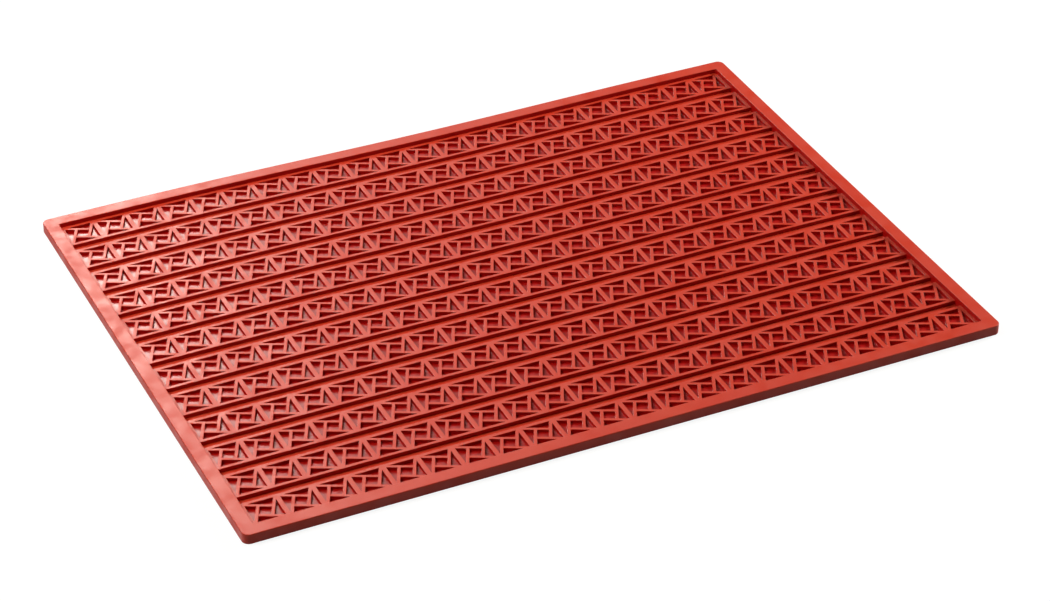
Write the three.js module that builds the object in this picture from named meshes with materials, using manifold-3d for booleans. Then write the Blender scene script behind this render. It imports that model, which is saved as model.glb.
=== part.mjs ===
// Silicone texture mat: a thin base sheet with a raised border round a sunken field. The
// field carries parallel relief bands with open grooves between them. A band is a row of
// square units, and in each unit a pinwheel of four slanted bars leaves four triangular
// pockets round a tilted square one.
//
// Millimetres, +Z up. The origin is at the middle of the flat underside, +X runs along
// the mat's long side and +Y from its front edge to its back edge.
import * as THREE from "three";
import { mergeVertices } from "three/addons/utils/BufferGeometryUtils.js";
import Module from "manifold-3d";

// Mat
const MAT_LENGTH = 550;
const MAT_WIDTH = 398;
const MAT_HEIGHT = 7.5; // underside to the top of the border
const SHEET_THICKNESS = 1.4; // base sheet, which is also the floor of the grooves
const CORNER_RADIUS = 7; // outer corners, in plan

// Border
const BORDER_WIDTH = 10; // across its top
const BORDER_DRAFT = 0.4; // how far its inner wall leans into the field on the way down
const BORDER_ROUND = 0.6; // round along its outer top edge

// Relief bands
const BAND_HEIGHT = 2.9; // above the base sheet
const GROOVE_WIDTH = 6.6; // between two bands
const RAIL_WIDTH = 2.4; // wall along each long side of a band
const END_WALL_LEAST = 2; // thinnest wall that may be left between a pocket and the border

// Pinwheel units
const UNIT_OPENING = 20.6; // side of the square that a pinwheel fills
const DIVIDER_WIDTH = 3.4; // wall between two units of a band
const BAR_WIDTH = 2.2;
const BAR_SLOPE = 0.47; // a bar falls this much for each millimetre of its run
const POCKET_DEPTH = 2.4; // below the top of the band

// Facets of a rounded corner in plan, and of the round over the border's outer edge
const CORNER_FACETS = 6;
const ROUND_FACETS = 3;

// Worked out from the sizes above
const borderFoot = BORDER_WIDTH + BORDER_DRAFT;
const fieldLength = MAT_LENGTH - 2 * borderFoot;
const fieldWidth = MAT_WIDTH - 2 * borderFoot;
const bandTop = SHEET_THICKNESS + BAND_HEIGHT;
const unitPitch = UNIT_OPENING + DIVIDER_WIDTH;
const bandPitch = UNIT_OPENING + 2 * RAIL_WIDTH + GROOVE_WIDTH;
const unitCount = Math.floor((fieldLength - 2 * END_WALL_LEAST + DIVIDER_WIDTH) / unitPitch);
const bandCount = Math.floor((fieldWidth - 2 * END_WALL_LEAST + bandPitch - UNIT_OPENING) / bandPitch);
const curveSegments = CORNER_FACETS / 2; // an arc is drawn with two facets for each of these

const wasm = await Module();
wasm.setup();

// A closed three.js geometry as a solid that can be joined and cut.
function solid(geometry) {
  geometry.deleteAttribute("normal");
  geometry.deleteAttribute("uv");
  const merged = mergeVertices(geometry);
  const vertProperties = new Float32Array(merged.attributes.position.array);
  const triVerts = new Uint32Array(merged.index.array);
  return new wasm.Manifold(new wasm.Mesh({ numProp: 3, vertProperties, triVerts }));
}

function silicone(name, shape, colour) {
  const mesh = shape.getMesh();
  const geometry = new THREE.BufferGeometry();
  geometry.setAttribute("position", new THREE.BufferAttribute(mesh.vertProperties, 3));
  geometry.setIndex(new THREE.BufferAttribute(mesh.triVerts, 1));
  geometry.computeVertexNormals();
  const material = new THREE.MeshStandardMaterial({ color: colour, roughness: 0.45, metalness: 0 });
  const piece = new THREE.Mesh(geometry, material);
  piece.name = name;
  return piece;
}

function polygon(points) {
  return new THREE.Shape(points.map(([x, y]) => new THREE.Vector2(x, y)));
}

// A rectangle centred on the origin.
function rectangle(length, width) {
  const x = length / 2;
  const y = width / 2;
  return polygon([[-x, -y], [x, -y], [x, y], [-x, y]]);
}

function roundedRectangle(length, width, radius) {
  const x = length / 2 - radius;
  const y = width / 2 - radius;
  const quarter = Math.PI / 2;
  const outline = new THREE.Shape();
  outline.absarc(x, y, radius, 0, quarter);
  outline.absarc(-x, y, radius, quarter, 2 * quarter);
  outline.absarc(-x, -y, radius, 2 * quarter, 3 * quarter);
  outline.absarc(x, -y, radius, 3 * quarter, 4 * quarter);
  return outline;
}

// One outline, or several apart from each other, extruded from one height to another.
function prism(outlines, bottom, top) {
  const options = { depth: top - bottom, bevelEnabled: false, curveSegments };
  return solid(new THREE.ExtrudeGeometry(outlines, options).translate(0, 0, bottom));
}

function baseSheet() {
  return prism(roundedRectangle(MAT_LENGTH, MAT_WIDTH, CORNER_RADIUS), 0, SHEET_THICKNESS);
}

// The border as one ring. Its outer top edge is rounded, and above the bands its inner
// wall is drafted, so that the moulding leaves its mould.
function borderRing() {
  const outer = new THREE.ExtrudeGeometry(roundedRectangle(MAT_LENGTH, MAT_WIDTH, CORNER_RADIUS), {
    depth: MAT_HEIGHT - BORDER_ROUND,
    bevelThickness: BORDER_ROUND,
    bevelSize: BORDER_ROUND,
    bevelOffset: -BORDER_ROUND,
    bevelSegments: ROUND_FACETS,
    curveSegments,
  });
  const mouth = new THREE.ExtrudeGeometry(
    rectangle(MAT_LENGTH - 2 * BORDER_WIDTH, MAT_WIDTH - 2 * BORDER_WIDTH),
    {
      depth: MAT_HEIGHT,
      bevelThickness: MAT_HEIGHT - bandTop,
      bevelSize: BORDER_DRAFT,
      bevelOffset: -BORDER_DRAFT,
      bevelSegments: 1,
    },
  );
  const field = prism(rectangle(fieldLength, fieldWidth), -BORDER_ROUND - MAT_HEIGHT, MAT_HEIGHT);
  return solid(outer)
    .subtract(field)
    .subtract(solid(mouth.translate(0, 0, MAT_HEIGHT)));
}

// The ring is mitred at its corners into four sides, which stand on the base sheet.
function borderSides() {
  const ring = borderRing();
  const x = MAT_LENGTH / 2;
  const y = MAT_WIDTH / 2;
  const reach = 2 * borderFoot;
  const mitres = {
    front_border: [[-x, -y], [x, -y], [x - reach, -y + reach], [-x + reach, -y + reach]],
    right_border: [[x, -y], [x, y], [x - reach, y - reach], [x - reach, -y + reach]],
    back_border: [[x, y], [-x, y], [-x + reach, y - reach], [x - reach, y - reach]],
    left_border: [[-x, y], [-x, -y], [-x + reach, -y + reach], [-x + reach, y - reach]],
  };
  return Object.entries(mitres).map(([name, points]) => {
    const side = ring.intersect(prism(polygon(points), SHEET_THICKNESS, MAT_HEIGHT));
    return silicone(name, side, 0xc73d2e);
  });
}

// The five pockets that one pinwheel leaves open, round the unit's centre. A bar starts in
// each corner of the unit and ends against the next bar, a quarter turn on.
function pinwheelPockets(centre) {
  const half = UNIT_OPENING / 2;
  const barHalf = BAR_WIDTH / 2;
  const angle = Math.atan(BAR_SLOPE);
  const along = new THREE.Vector2(Math.cos(angle), -Math.sin(angle));
  const across = new THREE.Vector2(Math.sin(angle), Math.cos(angle));
  const barLine = half * (along.x - across.x); // centre line's distance from the unit's centre
  const at = (a, b) => along.clone().multiplyScalar(a).addScaledVector(across, b);

  const tip = new THREE.Vector2(-half + barHalf / across.x, half);
  const corner = new THREE.Vector2(half - barHalf / across.y, half);
  const elbow = at(barLine - barHalf, barLine + barHalf);
  const triangle = [tip, elbow, corner];
  const inner = barLine - barHalf;
  const square = [at(-inner, -inner), at(inner, -inner), at(inner, inner), at(-inner, inner)];

  const middle = new THREE.Vector2();
  const quarterTurns = [0, 1, 2, 3].map((turn) => (turn * Math.PI) / 2);
  const triangles = quarterTurns.map((turn) => triangle.map((p) => p.clone().rotateAround(middle, turn)));
  return [square, ...triangles].map((points) => new THREE.Shape(points.map((p) => p.clone().add(centre))));
}

// Bands from front to back. The outermost two reach the border with their outer rails.
function reliefBands() {
  const pockets = [];
  for (let unit = 0; unit < unitCount; unit += 1) {
    const x = (unit - (unitCount - 1) / 2) * unitPitch;
    pockets.push(...pinwheelPockets(new THREE.Vector2(x, 0)));
  }
  const pocketRow = prism(pockets, bandTop - POCKET_DEPTH, bandTop + POCKET_DEPTH);

  const bands = [];
  for (let band = 0; band < bandCount; band += 1) {
    const middle = (band - (bandCount - 1) / 2) * bandPitch;
    const railReach = UNIT_OPENING / 2 + RAIL_WIDTH;
    const front = band === 0 ? -fieldWidth / 2 : middle - railReach;
    const back = band === bandCount - 1 ? fieldWidth / 2 : middle + railReach;
    const x = fieldLength / 2;
    const bar = prism(polygon([[-x, front], [x, front], [x, back], [-x, back]]), SHEET_THICKNESS, bandTop);
    const name = `relief_band_${String(band + 1).padStart(2, "0")}`;
    bands.push(silicone(name, bar.subtract(pocketRow.translate(0, middle, 0)), 0xd24a38));
  }
  return bands;
}

const mat = new THREE.Group();
mat.add(silicone("base_sheet", baseSheet(), 0xb83427));
mat.add(...borderSides());
mat.add(...reliefBands());

export default mat;
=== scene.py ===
"""Silicone texture mat: its moulded body and relief bands, their finish, and the stage."""

import math

import bmesh
import bpy
from mathutils import Matrix, Vector


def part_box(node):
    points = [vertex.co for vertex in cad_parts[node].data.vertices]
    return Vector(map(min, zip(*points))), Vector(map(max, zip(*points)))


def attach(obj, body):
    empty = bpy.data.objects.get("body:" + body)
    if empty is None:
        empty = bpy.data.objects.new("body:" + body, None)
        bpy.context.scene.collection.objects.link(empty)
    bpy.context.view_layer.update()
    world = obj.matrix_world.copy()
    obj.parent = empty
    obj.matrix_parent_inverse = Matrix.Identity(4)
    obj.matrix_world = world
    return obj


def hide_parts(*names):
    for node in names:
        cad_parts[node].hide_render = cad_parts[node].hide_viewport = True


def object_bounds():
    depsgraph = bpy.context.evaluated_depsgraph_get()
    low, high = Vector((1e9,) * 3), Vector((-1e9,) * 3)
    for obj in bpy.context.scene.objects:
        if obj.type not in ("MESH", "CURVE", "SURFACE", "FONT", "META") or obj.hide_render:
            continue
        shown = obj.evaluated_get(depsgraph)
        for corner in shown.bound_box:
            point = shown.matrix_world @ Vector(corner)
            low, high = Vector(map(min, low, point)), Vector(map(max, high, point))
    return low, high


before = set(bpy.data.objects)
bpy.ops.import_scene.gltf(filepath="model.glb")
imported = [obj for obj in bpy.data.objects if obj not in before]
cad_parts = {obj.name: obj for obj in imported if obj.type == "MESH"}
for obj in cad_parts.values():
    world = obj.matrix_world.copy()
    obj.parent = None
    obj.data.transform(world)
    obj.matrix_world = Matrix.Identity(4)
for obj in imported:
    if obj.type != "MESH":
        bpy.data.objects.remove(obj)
CAD_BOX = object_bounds()

bl_info = {
    "name": "Silicone Texture Mat",
    "version": (1, 0, 0),
    "blender": (4, 5, 0),
    "location": "View3D > Sidebar > Texture Mat",
    "description": "Moulds a silicone texture mat with relief bands of pinwheel lattice",
    "category": "Add Mesh",
}

MM = 0.001

BODY_NODES = ("base_sheet", "front_border", "right_border", "back_border", "left_border")
BAND_NODES = sorted(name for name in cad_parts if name.startswith("relief_band_"))
SHEET_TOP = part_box("base_sheet")[1].z
BAND_LOW, BAND_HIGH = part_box(BAND_NODES[1])  # an inner band, with a groove on either side
BAND_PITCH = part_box(BAND_NODES[2])[0].y - BAND_LOW.y
BORDER_LOW, BORDER_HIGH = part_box("front_border")


def length(name, description, default):
    """A size in metres that a user would change."""
    return bpy.props.FloatProperty(
        name=name, description=description, default=default, min=0.0, precision=5, unit="LENGTH"
    )


def colour(name, description, default):
    """A colour that a user would change."""
    return bpy.props.FloatVectorProperty(
        name=name, description=description, default=default, size=3, min=0.0, max=1.0, subtype="COLOR"
    )


def fraction(name, description, default):
    """A number from 0 to 1 that a user would change."""
    return bpy.props.FloatProperty(
        name=name, description=description, default=default, min=0.0, max=1.0, subtype="FACTOR"
    )


class BodySizes(bpy.types.PropertyGroup):
    corner_radius: length("Corner radius", "Outer corners of the mat, in plan", 5.0 * MM)
    inner_corner: length("Inner corner", "Corners of the field inside the border, in plan", 0.8 * MM)
    border_draft: length("Border draft", "How far the inner wall leans in at its foot", 0.4 * MM)
    outer_round: length("Outer round", "Round along the border's outer top edge", 0.6 * MM)
    inner_round: length("Inner round", "Round along the border's inner top edge", 0.45 * MM)
    foot_round: length("Foot round", "Round where the outer wall meets the underside", 0.5 * MM)
    floor_fillet: length("Floor fillet", "Fillet where the inner wall meets the groove floor", 0.4 * MM)


class BandSizes(bpy.types.PropertyGroup):
    units: bpy.props.IntProperty(
        name="Units", description="Pinwheel units in a band", default=22, min=1
    )
    unit_opening: length("Unit opening", "Side of the square that a pinwheel fills", 20.6 * MM)
    divider_width: length("Divider width", "Wall between two units", 3.4 * MM)
    bar_width: length("Bar width", "Width of a pinwheel bar", 2.2 * MM)
    bar_slope: bpy.props.FloatProperty(
        name="Bar slope", description="Fall of a bar over its run", default=0.47, min=0.1, max=0.9
    )
    pocket_depth: length("Pocket depth", "Floors of the triangles below the band's top", 2.4 * MM)
    square_depth: length("Square depth", "Floor of the tilted square below the band's top", 1.9 * MM)
    edge_round: length("Edge round", "Round along the top edges of bars and rails", 0.2 * MM)
    wall_draft: length("Wall draft", "How far a wall leans out from its top to its foot", 0.1 * MM)


class LieSettings(bpy.types.PropertyGroup):
    ripple_height: length("Ripple height", "Height of the waves that the limp sheet lies in", 1.15 * MM)
    ripple_length: length("Ripple length", "Length of one wave along the mat", 350.0 * MM)
    ripple_crest: bpy.props.FloatProperty(
        name="Ripple crest", description="Place of one crest along X", default=-0.16, unit="LENGTH"
    )
    curl_height: length("Curl height", "Lift of the corner at the back right", 1.4 * MM)


class Finish(bpy.types.PropertyGroup):
    silicone: colour(
        "Silicone", "Matt skin of the border, the band tops and the grooves", (0.58, 0.03, 0.008)
    )
    haze: colour("Haze", "Pale bloom on the matt skin, in patches", (0.6, 0.042, 0.015))
    # The glossy skin's darker, deeper red is painted shade in the pockets and on the walls.
    shaded_pocket: colour("Pocket", "Glossy skin of the pockets and the walls", (0.43, 0.003, 0.002))
    roughness: fraction("Roughness", "Roughness of the matt skin", 0.48)
    pocket_roughness: fraction("Pocket roughness", "Roughness of the glossy skin", 0.345)


class StageSettings(bpy.types.PropertyGroup):
    floor_radius: length("Floor radius", "Radius of the flat of the round floor", 5.0)
    rim_radius: length("Rim radius", "Radius of the sweep that turns the floor up into its rim", 0.6)
    bounce: colour("Floor bounce", "Grey of the floor as the mat is lit by it", (0.22, 0.22, 0.22))
    ambient: bpy.props.FloatProperty(
        name="Ambient", description="Strength of the light from all round", default=0.03, min=0.0
    )


class TextureMatSettings(bpy.types.PropertyGroup):
    body: bpy.props.PointerProperty(type=BodySizes)
    band: bpy.props.PointerProperty(type=BandSizes)
    lie: bpy.props.PointerProperty(type=LieSettings)
    finish: bpy.props.PointerProperty(type=Finish)
    stage: bpy.props.PointerProperty(type=StageSettings)


# Pieces

SHARP_ANGLE = math.radians(50)
FLAT_FACE_WEIGHT = 100  # the most, so that large faces set the normals


def new_piece(name, mesh):
    piece = bpy.data.objects.new(name, mesh)
    bpy.context.scene.collection.objects.link(piece)
    return piece


def apply_modifiers(piece):
    """Gives an object the plain mesh that its modifiers make, in place of its own."""
    before = piece.data
    name = before.name
    graph = bpy.context.evaluated_depsgraph_get()
    after = bpy.data.meshes.new_from_object(piece.evaluated_get(graph), depsgraph=graph)
    piece.modifiers.clear()
    piece.data = after
    bpy.data.meshes.remove(before)
    after.name = name


def soften(piece):
    """Smooth shading that keeps flat faces flat and lets only the rounds turn."""
    piece.data.shade_smooth()
    piece.data.set_sharp_from_angle(angle=SHARP_ANGLE)
    weigh = piece.modifiers.new("flat faces", "WEIGHTED_NORMAL")
    weigh.weight = FLAT_FACE_WEIGHT
    weigh.keep_sharp = True
    apply_modifiers(piece)


def settle(piece, nodes, material):
    """Finishes a piece: its material, its body and the solids that it stands for."""
    piece.data.materials.clear()
    piece.data.materials.append(material)
    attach(piece, "root")
    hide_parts(*nodes)


RIPPLE_FROM, RIPPLE_TO = 0.05, 0.7  # from front to back, where the ripple starts and is whole
CURL_FROM_LEFT, CURL_FROM_FRONT = 0.6, 0.5  # where the curl of the corner starts


def eased(start, end, value):
    """0 before start, 1 after end, and smooth between them."""
    share = min(max((value - start) / (end - start), 0.0), 1.0)
    return share * share * (3 - 2 * share)


def lay(piece, settings):
    """Lets the limp sheet lie as on a table: rippled towards its back, with one corner curled up."""
    low, high = CAD_BOX
    for vertex in piece.data.vertices:
        place = vertex.co
        across = (place.x - low.x) / (high.x - low.x)
        back = (place.y - low.y) / (high.y - low.y)
        wave = math.cos((place.x - settings.ripple_crest) / settings.ripple_length * 2 * math.pi)
        ripple = settings.ripple_height * (1 + wave) / 2 * eased(RIPPLE_FROM, RIPPLE_TO, back)
        to_right = max((across - CURL_FROM_LEFT) / (1 - CURL_FROM_LEFT), 0.0)
        to_back = max((back - CURL_FROM_FRONT) / (1 - CURL_FROM_FRONT), 0.0)
        place.z += ripple + settings.curl_height * to_right**2 * to_back**2


# Meshes

WELD = 1e-6  # metres within which points are merged
# Faces of the glossy skin, which the material also paints a darker red as shade in the pockets and on
# the walls.
GLOSSY_SHADED_SKIN = "glossy_skin"  # face attribute that the material reads


def quarter_round(radius, steps):
    """Points of a quarter round, as (in from the wall, down from the top), from the top to the wall."""
    turns = [math.pi / 2 * step / steps for step in range(steps + 1)]
    return [(radius * (1 - math.sin(turn)), radius * (1 - math.cos(turn))) for turn in turns]


def outline(half_x, half_y, radius, corner_steps):
    """A rounded rectangle seen from above, anticlockwise."""
    points = []
    for quarter, (sign_x, sign_y) in enumerate(((1, 1), (-1, 1), (-1, -1), (1, -1))):
        middle = Vector((sign_x * (half_x - radius), sign_y * (half_y - radius)))
        turns = [(quarter + step / corner_steps) * math.pi / 2 for step in range(corner_steps + 1)]
        points += [middle + radius * Vector((math.cos(turn), math.sin(turn))) for turn in turns]
    return points


def ring_at(mesh, points, height):
    """New vertices over points of the plan, at one height."""
    return [mesh.verts.new((point.x, point.y, height)) for point in points]


def section_at(mesh, section, x):
    """New vertices of an upright section, at one place along the mat."""
    return [mesh.verts.new((x, y, z)) for y, z in section]


def strip(mesh, first, second):
    """Faces between two closed rings that have the same number of vertices."""
    faces = []
    for i in range(len(first)):
        j = (i + 1) % len(first)
        faces.append(mesh.faces.new((first[i], first[j], second[j], second[i])))
    return faces


def cut_evenly(mesh, axis, reach, count):
    """Cuts every face across an axis, so that the sheet can bend between the cuts."""
    normal = Vector((0, 0, 0))
    normal[axis] = 1
    for cut in range(1, count):
        place = normal * (2 * cut / count - 1) * reach
        geometry = mesh.verts[:] + mesh.edges[:] + mesh.faces[:]
        bmesh.ops.bisect_plane(mesh, geom=geometry, plane_co=place, plane_no=normal, dist=WELD)


def finished_mesh(mesh, name):
    """The plain mesh of one that has been edited, which is freed."""
    plain = bpy.data.meshes.new(name)
    mesh.to_mesh(plain)
    mesh.free()
    return plain


# Mat body

BODY_CORNER_STEPS = 10
BODY_CELLS = (22, 24)  # along a long side and a short one
BODY_ROUND_STEPS = 4


def body_profile(sizes):
    """Section of the border, as (in from the outer wall, height), from the underside to the field."""
    top = BORDER_HIGH.z
    foot = BORDER_HIGH.y - BORDER_LOW.y
    mouth = foot - sizes.border_draft
    profile = []
    for inset, drop in quarter_round(sizes.foot_round, BODY_ROUND_STEPS):
        profile.append((inset, drop))
    for inset, drop in reversed(quarter_round(sizes.outer_round, BODY_ROUND_STEPS)):
        profile.append((inset, top - drop))
    for inset, drop in quarter_round(sizes.inner_round, BODY_ROUND_STEPS):
        profile.append((mouth - inset, top - drop))
    profile.append((foot, BAND_HIGH.z))
    for inset, drop in reversed(quarter_round(sizes.floor_fillet, BODY_ROUND_STEPS)):
        profile.append((foot + inset, SHEET_TOP + drop))
    return profile


def body_mesh(sizes):
    """The base sheet and the raised border as one closed shell."""
    half_x = CAD_BOX[1].x
    half_y = CAD_BOX[1].y
    profile = body_profile(sizes)
    wall_top = BORDER_HIGH.z - sizes.inner_round / 2
    mesh = bmesh.new()
    layer = mesh.faces.layers.float.new(GLOSSY_SHADED_SKIN)
    rings = []
    for inset, height in profile:
        radius = max(sizes.corner_radius - inset, sizes.inner_corner)
        points = outline(half_x - inset, half_y - inset, radius, BODY_CORNER_STEPS)
        rings.append(ring_at(mesh, points, height))
    for level in range(len(rings) - 1):
        height = profile[level][1]
        next_height = profile[level + 1][1]
        on_inner_wall = next_height < height < wall_top  # the profile runs down only there
        for face in strip(mesh, rings[level], rings[level + 1]):
            # The inner wall gets the glossy skin and with it a darker red that is painted shade.
            face[layer] = float(on_inner_wall)
    mesh.faces.new(rings[-1])
    mesh.faces.new(list(reversed(rings[0])))
    field_inset = profile[-1][0]
    cut_evenly(mesh, 0, half_x - field_inset, BODY_CELLS[0])
    cut_evenly(mesh, 1, half_y - field_inset, BODY_CELLS[1])
    return finished_mesh(mesh, "mat_body")


# Relief bands

EDGE_STEPS = 2


def pinwheel_openings(sizes):
    """The five openings of a unit with sharp edges, each anticlockwise: four triangles, then the square.

    A triangle starts at its sharp tip. The first lies at the back of the unit, and the others
    follow by quarter turns to the left.
    """
    half = sizes.unit_opening / 2
    bar_half = sizes.bar_width / 2
    angle = math.atan(sizes.bar_slope)
    along = Vector((math.cos(angle), -math.sin(angle)))
    across = Vector((math.sin(angle), math.cos(angle)))
    bar_line = half * (along.x - across.x)
    tip = Vector((-half + bar_half / across.x, half))
    corner = Vector((half - bar_half / across.y, half))
    elbow = along * (bar_line - bar_half) + across * (bar_line + bar_half)
    inner = bar_line - bar_half
    turns = [Matrix.Rotation(quarter * math.pi / 2, 2) for quarter in range(4)]
    triangles = [[turn @ point for point in (tip, elbow, corner)] for turn in turns]
    square = [turn @ (along * -inner + across * inner) for turn in turns]
    return triangles + [square]


def grown(points, distance):
    """An anticlockwise polygon with every side moved outwards by a distance."""
    moved = []
    for i, point in enumerate(points):
        before = (point - points[i - 1]).normalized()
        after = (points[(i + 1) % len(points)] - point).normalized()
        normal = Vector((before.y, -before.x))
        bisector = (normal + Vector((after.y, -after.x))).normalized()
        moved.append(point + bisector * (distance / bisector.dot(normal)))
    return moved


def mark_glossy_and_shaded_faces(mesh, sizes):
    """Marks the faces below the edge rounds, which polished parts of the mould leave glossy, and which
    the material paints a darker red as shade.
    """
    layer = mesh.faces.layers.float.new(GLOSSY_SHADED_SKIN)
    limit = BAND_HIGH.z - sizes.edge_round / 2
    for face in mesh.faces:
        face[layer] = float(max(vertex.co.z for vertex in face.verts) < limit)


def band_section(sizes):
    """Section of a band outside its pockets, as (y, z): down its back, under it and up its front."""
    half_y = (BAND_HIGH.y - BAND_LOW.y) / 2
    rounds = quarter_round(sizes.edge_round, EDGE_STEPS)
    back = [(half_y - inset, BAND_HIGH.z - drop) for inset, drop in rounds]
    back.append((half_y, BAND_LOW.z))
    front = [(-y, z) for y, z in reversed(back)]
    return back + front


def unit_mesh(sizes):
    """One pinwheel unit of a band, open at its two ends, round the band's middle line."""
    half_x = (sizes.unit_opening + sizes.divider_width) / 2
    top = BAND_HIGH.z
    section = band_section(sizes)
    depths = [sizes.pocket_depth] * 4 + [sizes.square_depth]
    rounds = quarter_round(sizes.edge_round, EDGE_STEPS)
    mesh = bmesh.new()

    mouths = []
    for opening, depth in zip(pinwheel_openings(sizes), depths):
        rings = [ring_at(mesh, grown(opening, inset), top - drop) for inset, drop in rounds]
        rings.append(ring_at(mesh, grown(opening, -sizes.wall_draft), top - depth))
        for upper, lower in zip(rings, rings[1:]):
            strip(mesh, lower, upper)
        mesh.faces.new(rings[-1])
        mouths.append(rings[0])

    # The top: for each quarter a bar, the rail beside its triangle and the corner of the frame
    edge = section[0][0]
    corners = [(-half_x, edge), (-half_x, -edge), (half_x, -edge), (half_x, edge)]
    frame_corners = [mesh.verts.new((x, y, top)) for x, y in corners]
    *triangles, square = mouths
    for quarter, (tip, elbow, corner) in enumerate(triangles):
        next_elbow, next_corner = triangles[(quarter + 1) % 4][1:]
        mesh.faces.new((next_corner, next_elbow, square[quarter], square[quarter - 1], elbow, tip))
        mesh.faces.new((frame_corners[quarter], tip, corner, frame_corners[quarter - 1]))
        mesh.faces.new((frame_corners[quarter], next_corner, tip))

    left = section_at(mesh, section, -half_x)
    right = section_at(mesh, section, half_x)
    for i in range(len(section) - 1):
        mesh.faces.new((left[i], left[i + 1], right[i + 1], right[i]))
    bmesh.ops.remove_doubles(mesh, verts=mesh.verts, dist=WELD)
    mark_glossy_and_shaded_faces(mesh, sizes)
    return finished_mesh(mesh, "pinwheel_unit")


def end_mesh(sizes, reach):
    """The plain wall between the last unit and the border, with its inner end open at x = 0."""
    section = band_section(sizes)
    mesh = bmesh.new()
    inner = section_at(mesh, section, 0)
    outer = section_at(mesh, section, reach)
    strip(mesh, inner, outer)
    mesh.faces.new(list(reversed(outer)))
    mark_glossy_and_shaded_faces(mesh, sizes)
    return finished_mesh(mesh, "band_end")


# Nodes


def add_node(tree, kind, **settings):
    node = tree.nodes.new(kind)
    for name, value in settings.items():
        setattr(node, name, value)
    return node


def feed(tree, value, socket):
    """Links a socket to another node's, or sets it to a plain value."""
    if isinstance(value, bpy.types.NodeSocket):
        tree.links.new(value, socket)
    else:
        socket.default_value = value


def math_node(tree, operation, first, second):
    node = add_node(tree, "ShaderNodeMath", operation=operation)
    feed(tree, first, node.inputs[0])
    feed(tree, second, node.inputs[1])
    return node.outputs[0]


def band_tree():
    """Lays pinwheel units end to end along X, closes both ends and moves the band to its middle line."""
    tree = bpy.data.node_groups.new("Relief band", "GeometryNodeTree")
    sockets = {}
    for name, kind in (
        ("Unit", "NodeSocketObject"),
        ("End", "NodeSocketObject"),
        ("Units", "NodeSocketInt"),
        ("Unit Pitch", "NodeSocketFloat"),
        ("Middle", "NodeSocketVector"),
        ("Silicone", "NodeSocketMaterial"),
    ):
        socket = tree.interface.new_socket(name, in_out="INPUT", socket_type=kind)
        sockets[name] = socket.identifier
    tree.interface.new_socket("Geometry", in_out="OUTPUT", socket_type="NodeSocketGeometry")

    link = tree.links.new
    given = add_node(tree, "NodeGroupInput").outputs

    def along_x(value):
        node = add_node(tree, "ShaderNodeCombineXYZ")
        link(value, node.inputs["X"])
        return node.outputs[0]

    def laid(shape, count, start, step, rotation=None):
        line = add_node(tree, "GeometryNodeMeshLine", mode="OFFSET")
        feed(tree, count, line.inputs["Count"])
        link(along_x(start), line.inputs["Start Location"])
        link(along_x(step), line.inputs["Offset"])
        source = add_node(tree, "GeometryNodeObjectInfo")
        link(shape, source.inputs["Object"])
        copies = add_node(tree, "GeometryNodeInstanceOnPoints")
        link(line.outputs["Mesh"], copies.inputs["Points"])
        link(source.outputs["Geometry"], copies.inputs["Instance"])
        if rotation is not None:
            link(rotation, copies.inputs["Rotation"])
        return copies.outputs[0]

    pitch = given["Unit Pitch"]
    run = math_node(tree, "MULTIPLY", given["Units"], pitch)
    half_run = math_node(tree, "MULTIPLY", run, 0.5)
    half_pitch = math_node(tree, "MULTIPLY", pitch, 0.5)
    first = math_node(tree, "SUBTRACT", half_pitch, half_run)
    units = laid(given["Unit"], given["Units"], first, pitch)

    # The right end, then the left one, half a turn round
    index = add_node(tree, "GeometryNodeInputIndex").outputs[0]
    turn = add_node(tree, "ShaderNodeCombineXYZ")
    link(math_node(tree, "MULTIPLY", index, math.pi), turn.inputs["Z"])
    back_run = math_node(tree, "MULTIPLY", run, -1.0)
    ends = laid(given["End"], 2, half_run, back_run, turn.outputs[0])

    joined = add_node(tree, "GeometryNodeJoinGeometry")
    link(ends, joined.inputs[0])
    link(units, joined.inputs[0])
    real = add_node(tree, "GeometryNodeRealizeInstances")
    link(joined.outputs[0], real.inputs[0])
    welded = add_node(tree, "GeometryNodeMergeByDistance")
    welded.inputs["Distance"].default_value = WELD
    link(real.outputs[0], welded.inputs["Geometry"])
    placed = add_node(tree, "GeometryNodeSetPosition")
    link(welded.outputs[0], placed.inputs["Geometry"])
    link(given["Middle"], placed.inputs["Offset"])
    dressed = add_node(tree, "GeometryNodeSetMaterial")
    link(placed.outputs[0], dressed.inputs["Geometry"])
    link(given["Silicone"], dressed.inputs["Material"])
    result = add_node(tree, "NodeGroupOutput")
    link(dressed.outputs[0], result.inputs[0])
    return tree, sockets


# Materials

SILICONE = "moulded_silicone"
SILICONE_IOR = 1.41
BLOOM_SCALE, BLOOM_DETAIL = 38, 4  # noise scales are per metre
BLOOM_RANGE = (0.35, 0.7)  # noise where the bloom starts and where it is whole
GLOSS_SCALE, GLOSS_DETAIL = 90, 3
GLOSS_RANGE = (0.3, 0.7)  # noise where the matt skin is smoothest and where it is roughest
SMOOTHER, ROUGHER = 0.08, 0.1  # change of roughness at those two
GRAIN_SCALE, GRAIN_DETAIL = 1400, 2
GRAIN_DEPTH = 0.1 * MM
MATT_GRAIN, GLOSSY_GRAIN = 0.12, 0.02  # strength of the grain on either skin


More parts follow.
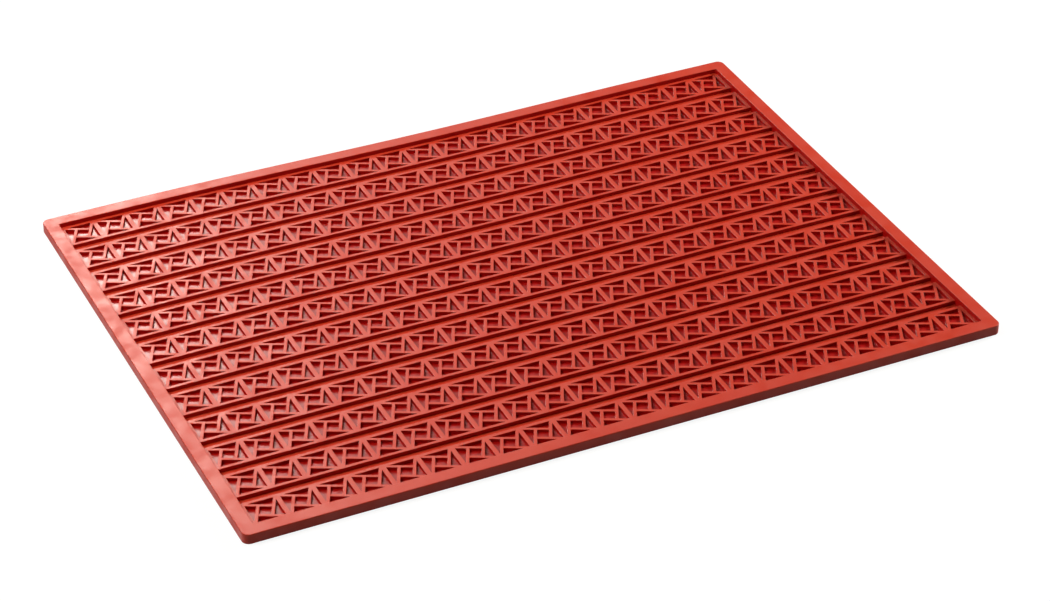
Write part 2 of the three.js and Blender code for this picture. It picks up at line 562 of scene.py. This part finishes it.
def silicone_material(finish):
    """Red silicone with two skins: a matt one with grain and a faint bloom, and a glossy one whose
    darker, deeper red is painted shade in the pockets and on the walls.
    """
    if SILICONE in bpy.data.materials:
        return bpy.data.materials[SILICONE]
    material = bpy.data.materials.new(SILICONE)
    material.use_nodes = True
    tree = material.node_tree
    link = tree.links.new
    shader = tree.nodes["Principled BSDF"]
    where = add_node(tree, "ShaderNodeTexCoord").outputs["Object"]

    def noise(scale, detail):
        node = add_node(tree, "ShaderNodeTexNoise")
        node.inputs["Scale"].default_value = scale
        node.inputs["Detail"].default_value = detail
        link(where, node.inputs["Vector"])
        return node.outputs["Fac"]

    def ranged(value, low, high, out_low, out_high):
        node = add_node(tree, "ShaderNodeMapRange")
        node.inputs["From Min"].default_value = low
        node.inputs["From Max"].default_value = high
        node.inputs["To Min"].default_value = out_low
        node.inputs["To Max"].default_value = out_high
        link(value, node.inputs["Value"])
        return node.outputs["Result"]

    def mixed(data_type, first, second, factor):
        node = add_node(tree, "ShaderNodeMix", data_type=data_type)
        sockets = [socket for socket in node.inputs if socket.enabled]
        for socket, value in zip(sockets, (factor, first, second)):
            feed(tree, value, socket)
        return next(socket for socket in node.outputs if socket.enabled)

    glossy_and_shaded = add_node(tree, "ShaderNodeAttribute", attribute_name=GLOSSY_SHADED_SKIN).outputs["Fac"]
    bloom = ranged(noise(BLOOM_SCALE, BLOOM_DETAIL), *BLOOM_RANGE, 0, 1)
    matt = mixed("RGBA", (*finish.silicone, 1), (*finish.haze, 1), bloom)
    # On the glossy skin the base colour turns to a darker, deeper red: painted shade in the pockets and
    # on the walls.
    link(mixed("RGBA", matt, (*finish.shaded_pocket, 1), glossy_and_shaded), shader.inputs["Base Color"])
    smoothest = finish.roughness - SMOOTHER
    roughest = finish.roughness + ROUGHER
    rough = ranged(noise(GLOSS_SCALE, GLOSS_DETAIL), *GLOSS_RANGE, smoothest, roughest)
    link(mixed("FLOAT", rough, finish.pocket_roughness, glossy_and_shaded), shader.inputs["Roughness"])
    shader.inputs["IOR"].default_value = SILICONE_IOR

    grain = add_node(tree, "ShaderNodeBump")
    link(ranged(glossy_and_shaded, 0, 1, MATT_GRAIN, GLOSSY_GRAIN), grain.inputs["Strength"])
    grain.inputs["Distance"].default_value = GRAIN_DEPTH
    link(noise(GRAIN_SCALE, GRAIN_DETAIL), grain.inputs["Height"])
    link(grain.outputs["Normal"], shader.inputs["Normal"])
    return material


FLOOR_WHITE = (0.95, 0.95, 0.95, 1)
FLOOR_GLOW = 0.85  # share of the floor's white that needs no light
GLOW_STRENGTH = 1.06


def seen_directly(tree):
    """1 for the rays that show the background: from the camera, or by way of gloss or glass."""
    rays = add_node(tree, "ShaderNodeLightPath").outputs
    by_way = math_node(tree, "MAXIMUM", rays["Is Glossy Ray"], rays["Is Transmission Ray"])
    return math_node(tree, "MAXIMUM", rays["Is Camera Ray"], by_way)


def floor_material(stage):
    """A white floor that shows a faint shadow, and that lights the mat as a grey one."""
    material = bpy.data.materials.new("studio_floor")
    material.use_nodes = True
    tree = material.node_tree
    tree.nodes.clear()
    link = tree.links.new
    bounce = add_node(tree, "ShaderNodeBsdfDiffuse")
    bounce.inputs["Color"].default_value = (*stage.bounce, 1)
    lit = add_node(tree, "ShaderNodeBsdfDiffuse")
    lit.inputs["Color"].default_value = FLOOR_WHITE
    glow = add_node(tree, "ShaderNodeEmission")
    glow.inputs["Strength"].default_value = GLOW_STRENGTH
    white = add_node(tree, "ShaderNodeMixShader")
    white.inputs["Fac"].default_value = FLOOR_GLOW
    link(lit.outputs[0], white.inputs[1])
    link(glow.outputs[0], white.inputs[2])
    shown = add_node(tree, "ShaderNodeMixShader")
    link(seen_directly(tree), shown.inputs["Fac"])
    link(bounce.outputs[0], shown.inputs[1])
    link(white.outputs[0], shown.inputs[2])
    result = add_node(tree, "ShaderNodeOutputMaterial")
    link(shown.outputs[0], result.inputs["Surface"])
    return material


# Stage

FLOOR_SIDES = 96
RIM_STEPS = 12


def floor_mesh(stage):
    """A round floor whose rim sweeps up, so that a low camera sees no edge."""
    mesh = bmesh.new()
    turns = [side / FLOOR_SIDES * 2 * math.pi for side in range(FLOOR_SIDES)]
    rings = []
    for inset, height in quarter_round(stage.rim_radius, RIM_STEPS):
        reach = stage.floor_radius + stage.rim_radius - inset
        points = [reach * Vector((math.cos(turn), math.sin(turn))) for turn in turns]
        rings.append(ring_at(mesh, points, height))
    mesh.faces.new(rings[0])
    for inner, outer in zip(rings, rings[1:]):
        strip(mesh, outer, inner)
    floor = finished_mesh(mesh, "studio_floor")
    floor.shade_smooth()
    return floor


def studio_world(stage):
    """A low white light from all round, above the floor's rim."""
    world = bpy.data.worlds.new("studio")
    world.use_nodes = True
    background = world.node_tree.nodes["Background"]
    background.inputs["Color"].default_value = (1, 1, 1, 1)
    background.inputs["Strength"].default_value = stage.ambient
    bpy.context.scene.world = world


LAMP_COLOUR = (1.0, 0.96, 0.87)
LAMPS = (  # name, place, size in metres, power in watts
    ("left_softbox", (-0.9, 0.16, 1.0), (0.5, 0.5), 12),
    ("right_softbox", (1.8, 0.2, 0.85), (0.6, 0.6), 40),
    ("back_softbox", (-0.1, 1.4, 1.6), (0.5, 0.5), 8.5),
)
SHEEN_LAMP = ("sheen_softbox", (0.08, 1.84, 1.16), (0.5, 0.6), 34)  # seen in the gloss alone


def softbox(name, place, size, power):
    """A rectangular studio light at a place, turned to the middle of the mat."""
    lamp = bpy.data.lights.new(name, "AREA")
    lamp.shape = "RECTANGLE"
    lamp.size, lamp.size_y = size
    lamp.energy = power
    lamp.color = LAMP_COLOUR
    light = bpy.data.objects.new(name, lamp)
    light.location = place
    light.rotation_euler = (-Vector(place)).to_track_quat("-Z", "Y").to_euler()
    bpy.context.scene.collection.objects.link(light)
    return light


PHOTO_WIDTH = 1050  # pixels across the photograph
FOCAL_PIXELS = 3026
SENSOR_WIDTH = 36.0  # millimetres
CAMERA_PLACE = Vector((-0.7591, -1.5853, 1.1619))
CAMERA_AIM = Vector((-0.00152, -0.02680, 0.0))
CAMERA_ROLL = math.radians(0.637)  # anticlockwise turn of the picture's level line


def photo_camera():
    """The photograph's camera: a long lens from the front left, looking down."""
    lens = bpy.data.cameras.new("photo_camera")
    lens.sensor_width = SENSOR_WIDTH
    lens.lens = SENSOR_WIDTH * FOCAL_PIXELS / PHOTO_WIDTH
    camera = bpy.data.objects.new("photo_camera", lens)
    camera.location = CAMERA_PLACE
    level = (CAMERA_AIM - CAMERA_PLACE).to_track_quat("-Z", "Y").to_matrix()
    camera.rotation_euler = (level @ Matrix.Rotation(CAMERA_ROLL, 3, "Z")).to_euler()
    bpy.context.scene.collection.objects.link(camera)
    bpy.context.scene.camera = camera


# Operators


class TEXTUREMAT_OT_body(bpy.types.Operator):
    """Mould the base sheet and the raised border as one body"""

    bl_idname = "texturemat.body"
    bl_label = "Mat Body"

    def execute(self, context):
        settings = context.scene.texture_mat
        body = new_piece("mat_body", body_mesh(settings.body))
        lay(body, settings.lie)
        soften(body)
        settle(body, BODY_NODES, silicone_material(settings.finish))
        return {"FINISHED"}


class TEXTUREMAT_OT_bands(bpy.types.Operator):
    """Lay the relief bands of pinwheel lattice into the field"""

    bl_idname = "texturemat.bands"
    bl_label = "Relief Bands"

    def execute(self, context):
        settings = context.scene.texture_mat
        sizes = settings.band
        material = silicone_material(settings.finish)
        pitch = sizes.unit_opening + sizes.divider_width
        reach = BAND_HIGH.x - sizes.units * pitch / 2
        if reach <= 0:
            raise ValueError("the units don't fit between the borders")
        unit = new_piece("pinwheel_unit", unit_mesh(sizes))
        end = new_piece("band_end", end_mesh(sizes, reach))
        tree, sockets = band_tree()
        for number, node in enumerate(BAND_NODES, 1):
            middle = (number - (len(BAND_NODES) + 1) / 2) * BAND_PITCH
            name = f"pinwheel_band_{number:02d}"
            band = new_piece(name, bpy.data.meshes.new(name))
            laid = band.modifiers.new("relief band", "NODES")
            laid.node_group = tree
            laid[sockets["Unit"]] = unit
            laid[sockets["End"]] = end
            laid[sockets["Units"]] = sizes.units
            laid[sockets["Unit Pitch"]] = pitch
            laid[sockets["Middle"]] = (0.0, middle, 0.0)
            laid[sockets["Silicone"]] = material
            apply_modifiers(band)
            lay(band, settings.lie)
            soften(band)
            settle(band, (node,), material)
        bpy.data.objects.remove(unit)
        bpy.data.objects.remove(end)
        bpy.data.node_groups.remove(tree)
        return {"FINISHED"}


class TEXTUREMAT_OT_stage(bpy.types.Operator):
    """Set the floor, the lights and the photograph's camera"""

    bl_idname = "texturemat.stage"
    bl_label = "Stage"

    def execute(self, context):
        stage = context.scene.texture_mat.stage
        floor = new_piece("studio_floor", floor_mesh(stage))
        floor.data.materials.append(floor_material(stage))
        studio_world(stage)
        for lamp in LAMPS:
            softbox(*lamp)
        softbox(*SHEEN_LAMP).visible_diffuse = False
        photo_camera()
        context.scene.view_settings.view_transform = "Standard"
        return {"FINISHED"}


class TEXTUREMAT_PT_panel(bpy.types.Panel):
    """Texture mat tools in the 3D view's sidebar"""

    bl_label = "Texture Mat"
    bl_idname = "TEXTUREMAT_PT_panel"
    bl_space_type = "VIEW_3D"
    bl_region_type = "UI"
    bl_category = "Texture Mat"

    def draw(self, context):
        settings = context.scene.texture_mat
        for title, group, operator in (
            ("Body", settings.body, TEXTUREMAT_OT_body),
            ("Bands", settings.band, TEXTUREMAT_OT_bands),
            ("Lie", settings.lie, None),
            ("Finish", settings.finish, None),
            ("Stage", settings.stage, TEXTUREMAT_OT_stage),
        ):
            box = self.layout.box()
            box.label(text=title)
            for name in group.__annotations__:
                box.prop(group, name)
            if operator:
                box.operator(operator.bl_idname)


CLASSES = (
    BodySizes,
    BandSizes,
    LieSettings,
    Finish,
    StageSettings,
    TextureMatSettings,
    TEXTUREMAT_OT_body,
    TEXTUREMAT_OT_bands,
    TEXTUREMAT_OT_stage,
    TEXTUREMAT_PT_panel,
)


def register():
    for cls in CLASSES:
        bpy.utils.register_class(cls)
    bpy.types.Scene.texture_mat = bpy.props.PointerProperty(type=TextureMatSettings)


def unregister():
    del bpy.types.Scene.texture_mat
    for cls in reversed(CLASSES):
        bpy.utils.unregister_class(cls)


def main():
    register()
    bpy.ops.texturemat.body()
    bpy.ops.texturemat.bands()
    bpy.ops.texturemat.stage()


if __name__ == "__main__":
    main()
